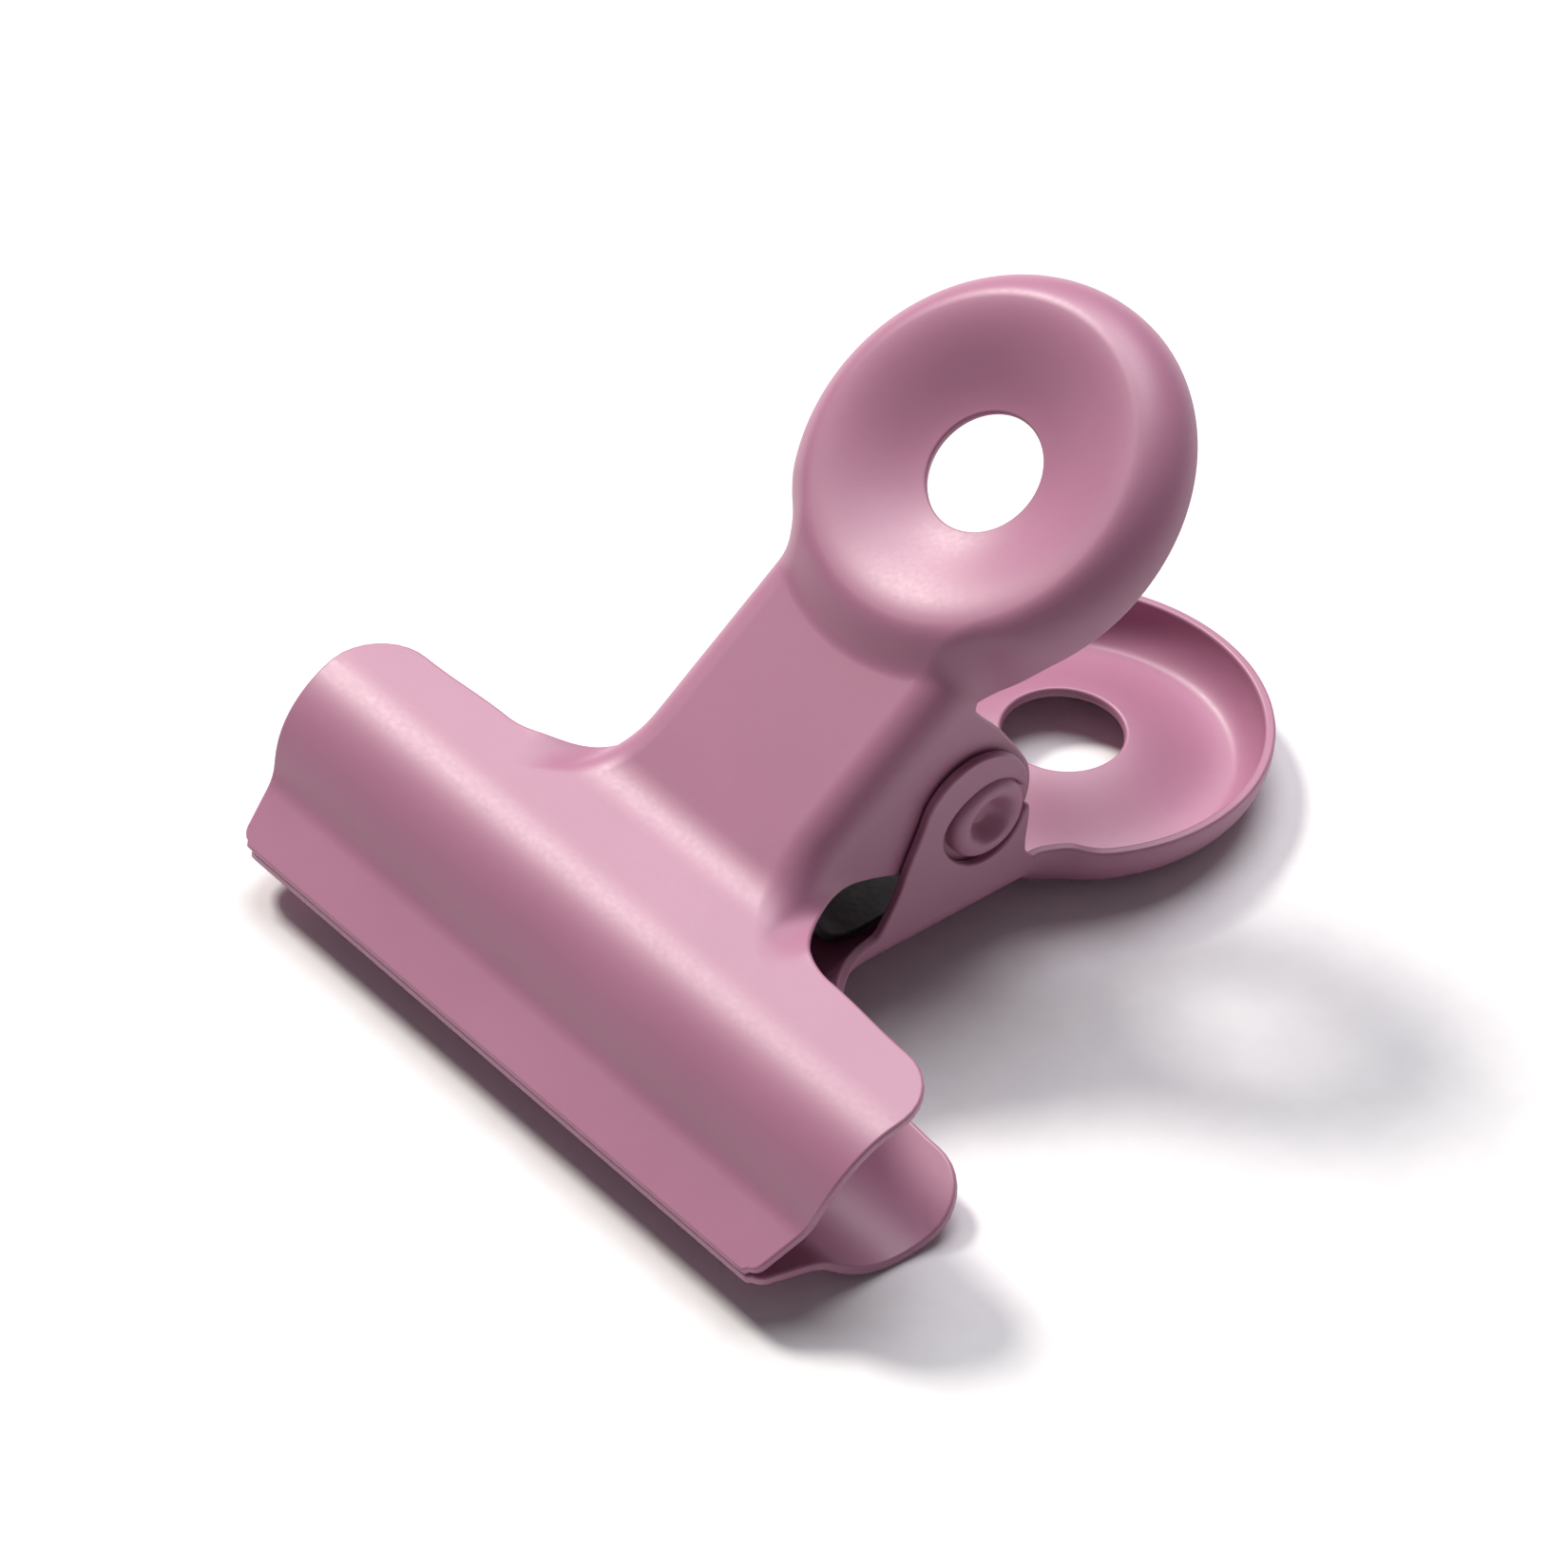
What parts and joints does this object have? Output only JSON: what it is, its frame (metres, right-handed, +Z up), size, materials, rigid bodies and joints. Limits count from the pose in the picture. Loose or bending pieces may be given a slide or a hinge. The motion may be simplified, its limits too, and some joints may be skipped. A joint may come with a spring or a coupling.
{
  "type": "round-handled letter clip",
  "caption": "Sprung steel paper clip with a rolled jaw and two dished round handles that are squeezed together to open it.",
  "frame": {"origin": "middle of the clip's footprint, on the surface that it rests on", "axes": "+X along the jaw, +Y from the lip towards the handles, +Z up; the clip lies on its lower plate, so its own middle plane rises 15.9 degrees towards the handles"},
  "size_m": [0.031, 0.0344, 0.0213],
  "materials": {
    "paint": "satin dusty-mauve paint with a faint pearl sheen over pressed steel",
    "spring_steel": "dark blued spring steel"
  },
  "bodies": {
    "lower": {"lower_plate": "paint", "spring": "spring_steel"},
    "upper": {"upper_plate": "paint"}
  },
  "joints": [
    {"name": "jaw_hinge", "type": "hinge", "parent": "lower", "child": "upper", "pos_m": [0, 0.00111, 0.00632], "axis": [-1, 0, 0], "range_deg": [0, 35], "stiffness_Nm_per_rad": 0.05, "springref_deg": -3.44, "deforming": ["spring"]}
  ]
}
